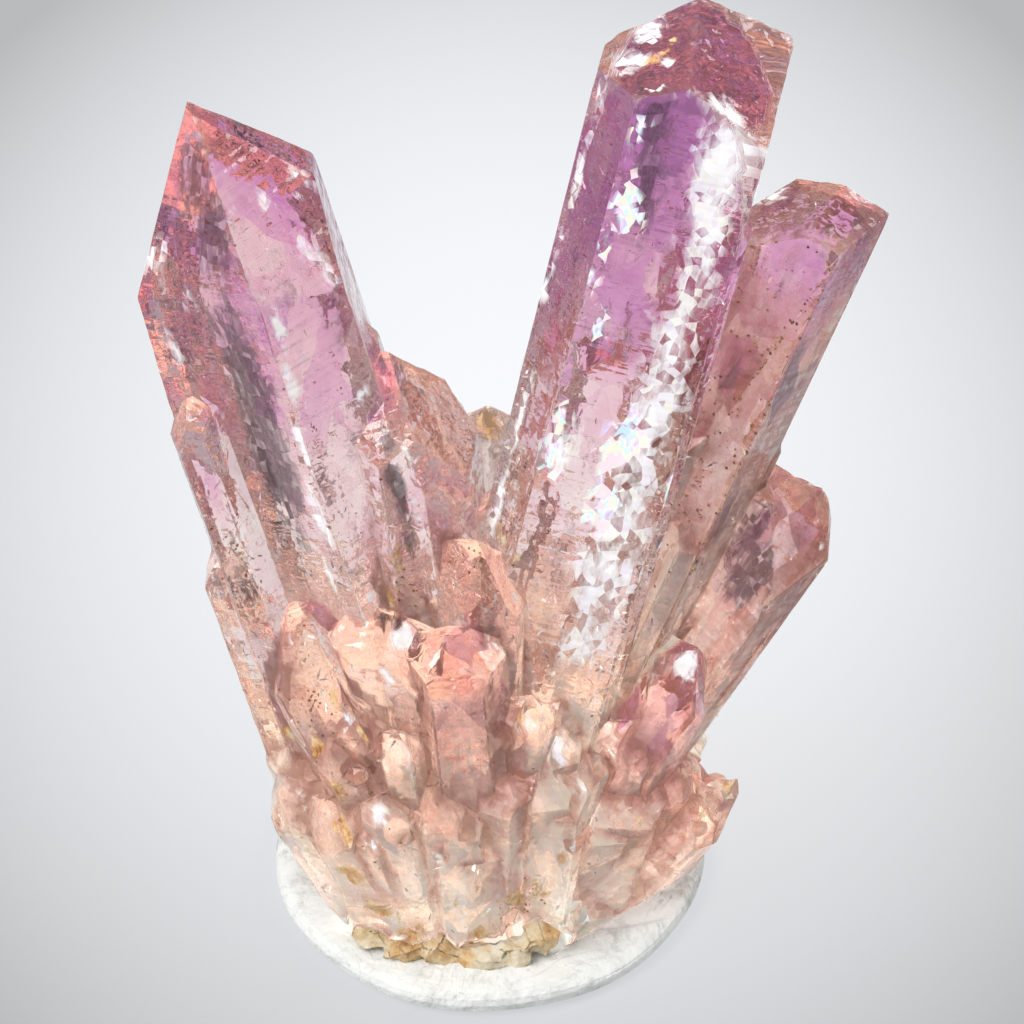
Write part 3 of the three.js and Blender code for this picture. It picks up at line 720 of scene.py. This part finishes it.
# Cleavage flakes
# Small flat breaks scattered under the faces, densest in the lower half: each is a lopsided, drawn-out pentagon.
# Each gets a random colour, painted glints in white and painted dark flashes, and a faint painted glow.
FLAKE_COUNT = 9000
FLAKE_MM = (0.03, 0.15)
FLAKE_DEPTH_MM = (0.03, 0.5)
random = np.random.default_rng(41)
height_share = np.clip(1.25 - flat_places[:, 2] / (30 * MM), 0.22, 1)
likely = height_share * (sharp < 0.5)
chosen = random.choice(len(flat_places), FLAKE_COUNT, p=likely / likely.sum())
owner = growth_frames(flat_places[chosen])[0]
from_root = flat_places[chosen] - SPRAY_ROOT
lean = np.where(owner[:, None] >= 0, AXES[owner], from_root / np.linalg.norm(from_root, axis=1)[:, None])
facing = outward[chosen] + random.normal(0, 0.55, (FLAKE_COUNT, 3))
across = np.cross(lean, facing)
across /= np.linalg.norm(across, axis=1)[:, None]
turns = np.arange(5) * math.pi / 2.5 + random.uniform(-0.45, 0.45, (FLAKE_COUNT, 5))
reach = MM * random.uniform(*FLAKE_MM, (FLAKE_COUNT, 1)) * random.uniform(0.4, 1.2, (FLAKE_COUNT, 5))
middle = crystal_places[chosen] - outward[chosen] * MM * random.uniform(*FLAKE_DEPTH_MM, (FLAKE_COUNT, 1))
along = np.cross(facing, across)
along /= np.linalg.norm(along, axis=1)[:, None]
stretch = random.uniform(1.0, 3, (FLAKE_COUNT, 1))
swing = random.normal(0, 0.8, (FLAKE_COUNT, 1))
across, along = across * np.cos(swing) + along * np.sin(swing), along * np.cos(swing) - across * np.sin(swing)
flake_places = (middle[:, None] + across[:, None] * (reach * np.cos(turns))[..., None] * 0.6
                + along[:, None] * (reach * stretch * np.sin(turns))[..., None])
flake_mesh = bpy.data.meshes.new("cleavage_flakes")
flake_mesh.from_pydata(flake_places.reshape(-1, 3), [], np.arange(FLAKE_COUNT * 5).reshape(-1, 5))
carry(flake_mesh, "tone", np.repeat(random.uniform(0, 1, FLAKE_COUNT), 5))
# The flakes' colour is painted glints and dark flashes, chosen at random per flake; their emission is a painted
# glow.
flake_glint, tree, shader = material("cleavage_flake", [("Roughness", 0.2), ("Metallic", 0.3), ("Alpha", 0.85),
                                                  ("Emission Strength", 0.12)])
colour = ramp(tree, attribute(tree, "tone"), [
    (0.0, (0.28, 0.16, 0.15)), (0.16, (0.52, 0.34, 0.32)), (0.26, (0.97, 0.86, 0.82)), (0.7, (1.0, 0.99, 0.99)),
    (0.95, (1.0, 0.92, 0.72)),
])
rough = noise(tree, add(tree, "TexCoord").outputs["Object"], 5000, 2)
bump = add(tree, "Bump", [("Height", rough), ("Strength", 0.35), ("Distance", 0.05 * MM)])
plug(tree, shader, Base_Color=colour, Emission_Color=colour, Normal=bump.outputs["Normal"])
show(flake_mesh, "cleavage_flakes", flake_glint, shades=False)

# Limonite
# Rusty iron oxide: a crumbly ochre and cream crust at the front of the foot, yellow stain and grains in the
# joints between the crystals above it, a streak on the tallest one and brown specks on its neighbour.
RUST_PIXELS = [
    (645, 68, 0.25, 0.4, 1), (655, 60, 0.28, 0.5, 1), (665, 52, 0.25, 0.5, 1), (674, 42, 0.2, 0.4, 1),
    (770, 130, 0.12, 1.2, 0.8), (763, 160, 0.12, 1, 0.7), (305, 350, 0.14, 0.5, 0.5), (358, 495, 0.14, 0.4, 0.6),
    (318, 750, 0.4, 1.2, 1.1), (335, 790, 0.5, 1.1, 1.1), (345, 830, 0.6, 1.1, 1.1), (355, 875, 0.8, 1, 1.1),
    (380, 910, 0.9, 0.8, 1.1), (410, 935, 1, 0.7, 1.1), (370, 750, 0.5, 0.7, 1), (362, 735, 0.5, 0.7, 1),
    (290, 735, 0.5, 0.8, 0.9), (285, 770, 0.5, 1, 0.9), (515, 900, 0.7, 1, 1.1), (540, 890, 0.6, 0.8, 1),
    (480, 935, 0.9, 0.6, 1), (345, 660, 0.4, 1.2, 0.8), (335, 700, 0.4, 1, 0.9), (390, 600, 0.4, 0.7, 0.8),
    (500, 535, 0.5, 0.6, 0.9), (515, 560, 0.4, 0.6, 0.8), (490, 420, 0.8, 1, 1), (735, 780, 0.8, 0.8, 1),
    (480, 890, 0.4, 0.9, 0.8), (400, 560, 0.6, 1.2, 0.8), (640, 820, 0.4, 1.2, 0.7), (700, 810, 0.4, 1, 0.8),
    (520, 720, 0.25, 1, 0.8), (450, 900, 0.4, 0.9, 0.8), (560, 860, 0.4, 1, 0.8), (600, 700, 0.3, 1, 0.6),
]
STAIN_LIFT = 0.03 * MM
rust, tree, shader = material("limonite_stain", [("Roughness", 0.8), ("Specular IOR Level", 0.2)])
grown = attribute(tree, "grown", "Vector")
grain = noise(tree, grown, (2600, 2600, 1500), 4, Roughness=0.7)
colour = ramp(tree, grain, [(0.34, (0.42, 0.16, 0.05)), (0.46, (0.82, 0.43, 0.16)), (0.56, (0.98, 0.69, 0.34)),
                            (0.68, (1.0, 0.90, 0.68))])
cover = sum_of(tree, (attribute(tree, "mark"), 1.7), (grain, 1.6), (relief_at(tree, grown)["Shard"], 1.0),
               (1.0, -2.1))
bump = add(tree, "Bump", [("Height", grain), ("Strength", 0.9), ("Distance", 0.2 * MM)])
plug(tree, shader, Base_Color=colour, Alpha=between(tree, cover, 0.0, 0.7, 0, 0.85), Normal=bump.outputs["Normal"])
rust_marks = covered(marks_at(RUST_PIXELS) + unseen(14, 6, 0.5, 1))
skin("limonite_stain", rust_marks, -STAIN_LIFT, rust)

GRAIN_MARKS = [(790, 300, 1.4, 4, 70), (745, 420, 1.2, 4, 90), (715, 500, 1, 3, 60), (360, 800, 1, 2.6, 60),
               (520, 900, 0.8, 1, 50), (230, 560, 1.6, 1.6, 50), (400, 585, 1, 1, 30), (480, 560, 0.9, 0.9, 25),
               (300, 700, 1.2, 2, 60), (440, 940, 1.6, 0.5, 40)]
GRAIN_MM = (0.02, 0.075)
gold = (1 + math.sqrt(5)) / 2
twelve = np.array([(-1, gold, 0), (1, gold, 0), (-1, -gold, 0), (1, -gold, 0), (0, -1, gold), (0, 1, gold),
                   (0, -1, -gold), (0, 1, -gold), (gold, 0, -1), (gold, 0, 1), (-gold, 0, -1), (-gold, 0, 1)])
twenty = np.array([(0, 11, 5), (0, 5, 1), (0, 1, 7), (0, 7, 10), (0, 10, 11), (1, 5, 9), (5, 11, 4), (11, 10, 2),
                   (10, 7, 6), (7, 1, 8), (3, 9, 4), (3, 4, 2), (3, 2, 6), (3, 6, 8), (3, 8, 9), (4, 9, 5),
                   (2, 4, 11), (6, 2, 10), (8, 6, 7), (9, 8, 1)])
random = np.random.default_rng(29)
chosen = []
for x, y, across, along, count in GRAIN_MARKS:
    likely = covered(marks_at([(x, y, across, along, 1)])) * (outward @ np.array(towards_camera) > 0)
    chosen.append(random.choice(len(flat_places), count, p=likely / likely.sum()))
chosen.append(random.choice(np.flatnonzero(flat_places[:, 2] > 5 * MM), 160, replace=False))
chosen = np.concatenate(chosen)
sizes = MM * random.uniform(*GRAIN_MM, (len(chosen), 1, 1)) * random.uniform(0.6, 1.3, (len(chosen), 12, 1))
grain_places = crystal_places[chosen][:, None] - outward[chosen][:, None] * 0.05 * MM + twelve / 1.9 * sizes
grain_faces = twenty[None] + 12 * np.arange(len(chosen))[:, None, None]
grain_mesh = bpy.data.meshes.new("limonite_grains")
grain_mesh.from_pydata(grain_places.reshape(-1, 3), [], grain_faces.reshape(-1, 3))
brown, tree, shader = material("limonite_grain", [("Roughness", 0.75)])
place = add(tree, "TexCoord").outputs["Object"]
colour = ramp(tree, noise(tree, place, 1300, 3), [(0.35, (0.16, 0.07, 0.03)), (0.5, (0.45, 0.23, 0.08)),
                                                  (0.65, (0.78, 0.52, 0.22))])
bump = add(tree, "Bump", [("Height", noise(tree, place, 9000, 3)), ("Strength", 0.8), ("Distance", 0.05 * MM)])
plug(tree, shader, Base_Color=colour, Normal=bump.outputs["Normal"])
show(grain_mesh, "limonite_grains", brown)

RIND_LONGEST_EDGE = 0.2 * MM
LUMP_DEPTH_MM = 0.28
CRUMB_DEPTH_MM = 0.14
crust_mesh = fine_copy(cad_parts["limonite_crust"], "limonite_rind", RIND_LONGEST_EDGE)
crust_places = places_of(crust_mesh)
_, crust_outward = edge_sharpness(crust_mesh)
lumps, crumbs = (0.5 + 0.5 * scatter(crust_places, size * MM, seed) for size, seed in ((0.7, 31), (0.28, 32)))
crumble = LUMP_DEPTH_MM * lumps + CRUMB_DEPTH_MM * crumbs
crust_mesh.vertices.foreach_set("co", (crust_places - crust_outward * (crumble * MM)[:, None]).ravel())
ochre, tree, shader = material("limonite_rind", [("Roughness", 0.85), ("Specular IOR Level", 0.25)])
place = add(tree, "TexCoord").outputs["Object"]
grain = noise(tree, place, 1500, 7, Roughness=0.7)
tone = noise(tree, place, 420, 3)
colour = ramp(tree, sum_of(tree, (grain, 0.6), (tone, 0.6), (1.0, -0.1)), [
    (0.3, (0.36, 0.16, 0.06)), (0.4, (0.80, 0.49, 0.22)), (0.5, (0.97, 0.75, 0.46)), (0.6, (1.0, 0.90, 0.70)),
    (0.78, (1.0, 0.98, 0.92)),
])
bump = add(tree, "Bump", [("Height", grain), ("Strength", 1.0), ("Distance", 0.3 * MM)])
plug(tree, shader, Base_Color=colour, Normal=bump.outputs["Normal"])
show(crust_mesh, "limonite_rind", ochre, ["limonite_crust"])

# Putty
# A pat of white poster putty, pressed flat under the foot by hand and thumbed up against it: soft, matt,
# with a rolled rim, dents, a fold on the right and grey smudges of dust kneaded in.
PUTTY_RADIUS = 9.9 * MM
PUTTY_LEVEL = 1.5 * MM
FOOT_PLACE = np.array((-0.8, -4.2)) * MM
SPOKES = 300
# The pat's section from the middle of the top to the middle of the underside: share of radius, of thickness
SECTION = np.array([(0.001, 1), (0.3, 1), (0.6, 1), (0.82, 0.99), (0.92, 0.95), (0.965, 0.85), (0.99, 0.7),
                    (1, 0.5), (0.992, 0.25), (0.965, 0.06), (0.94, 0), (0.6, 0), (0.001, 0)])
RINGS_PER_STEP = 9
steps = np.arange(0, len(SECTION) - 1 + 1e-9, 1 / RINGS_PER_STEP)
share = np.interp(steps, np.arange(len(SECTION)), SECTION[:, 0])
level = np.interp(steps, np.arange(len(SECTION)), SECTION[:, 1])
angle = np.linspace(0, 2 * math.pi, SPOKES, endpoint=False)
radius = PUTTY_RADIUS * (0.985 + 0.009 * np.sin(3 * angle + 0.6) + 0.006 * np.sin(7 * angle + 2))
flat = np.stack([share[:, None] * radius * np.cos(angle), share[:, None] * radius * np.sin(angle),
                 np.zeros((len(share), SPOKES))], axis=-1).reshape(-1, 3)
level = np.repeat(level, SPOKES)
is_top = np.repeat(steps < 6.5, SPOKES)
dents = 0.16 * scatter(flat, 3.2 * MM, 51) + 0.07 * scatter(flat, 1.3 * MM, 52) + 0.025 * scatter(flat, 0.5 * MM, 53)
near_foot = np.exp(-((np.linalg.norm(flat[:, :2] - FOOT_PLACE, axis=1) / (5 * MM)) ** 4))
fold_line = flat[:, 1] + 6.2 * MM - 0.36 * (flat[:, 0] - 2 * MM) - 0.5 * MM * np.sin(flat[:, 0] / (1.5 * MM))
fold = -0.2 * np.exp(-((fold_line / (0.28 * MM)) ** 2)) * (flat[:, 0] > -1 * MM)
fold += 0.14 * np.exp(-(((fold_line + 0.5 * MM) / (0.5 * MM)) ** 2)) * (flat[:, 0] > -1 * MM)
lift = np.where(is_top, level ** 4 * (dents + fold + 0.35 * near_foot - 0.12), 0)
putty_places = flat.copy()
putty_places[:, 2] = np.clip(level * PUTTY_LEVEL + lift * MM, 0, None)
ring_starts = np.arange(len(share) - 1)[:, None] * SPOKES
spoke = np.arange(SPOKES)[None]
putty_faces = np.stack([ring_starts + spoke, ring_starts + SPOKES + spoke,
                        ring_starts + SPOKES + (spoke + 1) % SPOKES, ring_starts + (spoke + 1) % SPOKES], axis=-1)
top_ring = list(range(SPOKES))
bottom_ring = [(len(share) - 1) * SPOKES + number for number in reversed(range(SPOKES))]
putty_mesh = bpy.data.meshes.new("putty_pat")
putty_mesh.from_pydata(putty_places, [], putty_faces.reshape(-1, 4).tolist() + [top_ring, bottom_ring])
putty, tree, shader = material("putty", [("Roughness", 0.5), ("Specular IOR Level", 0.35)])
place = add(tree, "TexCoord").outputs["Object"]
smudge = noise(tree, place, 170, 5, Roughness=0.6, Distortion=0.9)
veins = noise(tree, place, 260, 3, Roughness=0.55, Distortion=1.6)
specks = noise(tree, place, 2600, 3, Roughness=0.6)
ridge = add(tree, "Math", [(0, sum_of(tree, (veins, 1.0), (1.0, -0.5)))], operation="ABSOLUTE").outputs[0]
mottle = noise(tree, place, 750, 4, Roughness=0.65)
dirt = sum_of(tree, (between(tree, smudge, 0.44, 0.62), 0.36), (between(tree, specks, 0.66, 0.72), 0.3),
              (between(tree, ridge, 0.0, 0.016, 0.22, 0.0), 1.0), (between(tree, mottle, 0.5, 0.66), 0.3))
colour = ramp(tree, dirt, [(0.0, (0.88, 0.885, 0.85)), (0.3, (0.74, 0.745, 0.71)), (0.6, (0.48, 0.48, 0.45)),
                           (1.0, (0.25, 0.24, 0.22))])
height = sum_of(tree, (smudge, 1.0), (veins, 0.6), (specks, 0.15))
bump = add(tree, "Bump", [("Height", height), ("Strength", 0.8), ("Distance", 0.6 * MM)])
plug(tree, shader, Base_Color=colour, Normal=bump.outputs["Normal"])
show(putty_mesh, "putty_pat", putty, ["putty_base"])

# Floor and light
# A pale floor that glows with a painted pool of light, brightest near the specimen and darker away from it,
# under one soft light from above and the left and an even room.
FLOOR_HALF = 0.6
LIGHT_POOL_MIDDLE = (0.001, 0.032)
LIGHT_POOL_REACH = 0.036

corners = [(-FLOOR_HALF, -FLOOR_HALF, 0), (FLOOR_HALF, -FLOOR_HALF, 0),
           (FLOOR_HALF, FLOOR_HALF, 0), (-FLOOR_HALF, FLOOR_HALF, 0)]
floor_mesh = bpy.data.meshes.new("floor")
floor_mesh.from_pydata(corners, [], [(0, 1, 2, 3)])
floor = bpy.data.objects.new("floor", floor_mesh)
bpy.context.scene.collection.objects.link(floor)
light_pool_floor, tree, shader = material("painted_light_pool_floor", [("Roughness", 0.9), ("Base Color", (0.12, 0.12, 0.12, 1))])
place = add(tree, "TexCoord").outputs["Object"]
centred = add(tree, "VectorMath", [(0, place), (1, (*LIGHT_POOL_MIDDLE, 0))], operation="SUBTRACT").outputs["Vector"]
squeezed = add(tree, "VectorMath", [(0, centred), (1, (1, 0.65, 1))], operation="MULTIPLY").outputs["Vector"]
distance = add(tree, "VectorMath", [(0, squeezed)], operation="LENGTH").outputs["Value"]
away = add(tree, "MapRange", [("Value", distance), ("From Max", LIGHT_POOL_REACH)]).outputs["Result"]
fall = add(tree, "Math", [(0, away), (1, 2.2)], operation="POWER").outputs[0]
# The floor's emission is a painted pool of light, bright around the specimen and darker farther out.
colour = ramp(tree, fall, [(0.0, (0.86, 0.885, 0.915)), (1.0, (0.36, 0.37, 0.38))])
plug(tree, shader, Emission_Color=colour)
shader.inputs["Emission Strength"].default_value = 0.9
floor_mesh.materials.append(light_pool_floor)

scene = bpy.context.scene
scene.world = bpy.data.worlds.new("room")
scene.world.use_nodes = True
tree = scene.world.node_tree
direction = add(tree, "TexCoord").outputs["Generated"]
level = add(tree, "SeparateXYZ", [("Vector", direction)]).outputs["Z"]
room = ramp(tree, level, [(0.0, (0.30, 0.30, 0.32)), (0.35, (0.62, 0.63, 0.66)), (0.7, (1.0, 1.0, 1.0))])
background = tree.nodes["Background"]
tree.links.new(room, background.inputs["Color"])
background.inputs["Strength"].default_value = 0.62


def soft_light(name, where, size, power):
    """A square area lamp that shines at the specimen."""
    lamp = bpy.data.lights.new(name, "AREA")
    lamp.size = size
    lamp.energy = power
    made = bpy.data.objects.new(name, lamp)
    bpy.context.scene.collection.objects.link(made)
    made.location = where
    made.rotation_euler = (AIM - Vector(where)).to_track_quat("-Z", "Y").to_euler()
    return made


soft_light("window", (-0.20, -0.14, 0.30), 0.20, 1.1)
soft_light("fill", (0.28, 0.12, 0.26), 0.16, 0.4)

scene.view_settings.view_transform = "Standard"
scene.cycles.max_bounces = 8
scene.cycles.transmission_bounces = 8
scene.cycles.glossy_bounces = 6
scene.cycles.diffuse_bounces = 2
scene.cycles.caustics_reflective = False
scene.cycles.caustics_refractive = False
scene.cycles.transparent_max_bounces = 20
scene.cycles.blur_glossy = 0.5
scene.cycles.adaptive_threshold = 0.04
